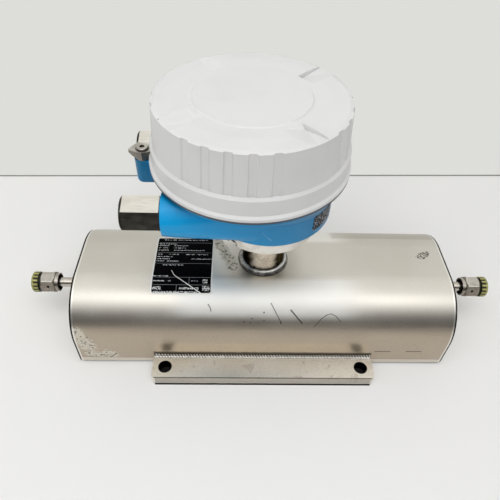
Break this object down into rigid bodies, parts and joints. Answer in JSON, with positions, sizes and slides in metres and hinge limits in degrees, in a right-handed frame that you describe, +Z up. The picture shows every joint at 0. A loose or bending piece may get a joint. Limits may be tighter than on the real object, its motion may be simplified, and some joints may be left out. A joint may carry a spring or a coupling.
{
  "type": "coriolis mass flow meter",
  "caption": "Small-bore Coriolis mass flow meter: steel sensor housing on mounting bars, captive union nuts and a neck-mounted transmitter with fluted screw lid.",
  "frame": {"origin": "centre of the footprint, on the plane that the mounting bars stand on", "axes": "+X along the flow axis from the end with the cable entries, -Y front with the nameplate, +Z up"},
  "size_m": [0.4008, 0.1562, 0.2176],
  "materials": {
    "housing_steel": "satin, warm grey, fine blasted grain",
    "weld_steel": "bright rippled weld",
    "bright_steel": "turned, bright",
    "plated_steel": "nickel plated, semi-gloss",
    "flange_steel": "fine turned, pale",
    "blue_paint": "powder coat, fine orange peel",
    "white_paint": "powder coat, fine orange peel",
    "olive_plastic": "moulded",
    "black_rubber": "matt",
    "dark_foil": "satin foil",
    "coil_copper": "enamelled winding",
    "magnet_steel": "ground",
    "board_green": "coated laminate",
    "carrier_plastic": "moulded",
    "terminal_plastic": "moulded"
  },
  "bodies": {
    "meter": {"sensor_wrap": "housing_steel", "end_plate_left": "housing_steel", "end_plate_right": "housing_steel", "mounting_bar_front": "housing_steel", "mounting_bar_rear": "housing_steel", "bar_weld_front": "weld_steel", "bar_weld_rear": "weld_steel", "gland_left": "bright_steel", "gland_right": "bright_steel", "flow_tube": "bright_steel", "tube_carrier": "bright_steel", "carrier_clamp_left": "bright_steel", "carrier_clamp_right": "bright_steel", "drive_coil": "coil_copper", "drive_magnet": "magnet_steel", "pickup_coil_left": "coil_copper", "pickup_coil_right": "coil_copper", "pickup_magnet_left": "magnet_steel", "pickup_magnet_right": "magnet_steel", "temperature_sensor": "bright_steel", "neck_weld": "weld_steel", "neck_tube": "bright_steel", "neck_flange": "flange_steel", "flange_screws": "plated_steel", "feedthrough": "carrier_plastic", "transmitter_body": "blue_paint", "adapter_front": "plated_steel", "adapter_rear": "plated_steel", "adapter_seals": "black_rubber", "lid": "white_paint", "lid_gasket": "black_rubber", "lid_clamp": "bright_steel", "clamp_screw": "bright_steel", "electronics_carrier": "carrier_plastic", "power_board": "board_green", "signal_board": "board_green", "board_spacers": "bright_steel", "terminal_block": "terminal_plastic", "nameplate": "dark_foil", "side_label": "dark_foil"},
    "nut_left": {"nut_left": "plated_steel", "protector_left": "olive_plastic"},
    "nut_right": {"nut_right": "plated_steel", "protector_right": "olive_plastic"}
  },
  "joints": [
    {"name": "nut_left_spin", "type": "hinge", "parent": "meter", "child": "nut_left", "pos_m": [-0.185, 0, 0.0363], "axis": [1, 0, 0], "continuous": true},
    {"name": "nut_right_spin", "type": "hinge", "parent": "meter", "child": "nut_right", "pos_m": [0.185, 0, 0.0363], "axis": [1, 0, 0], "continuous": true}
  ]
}
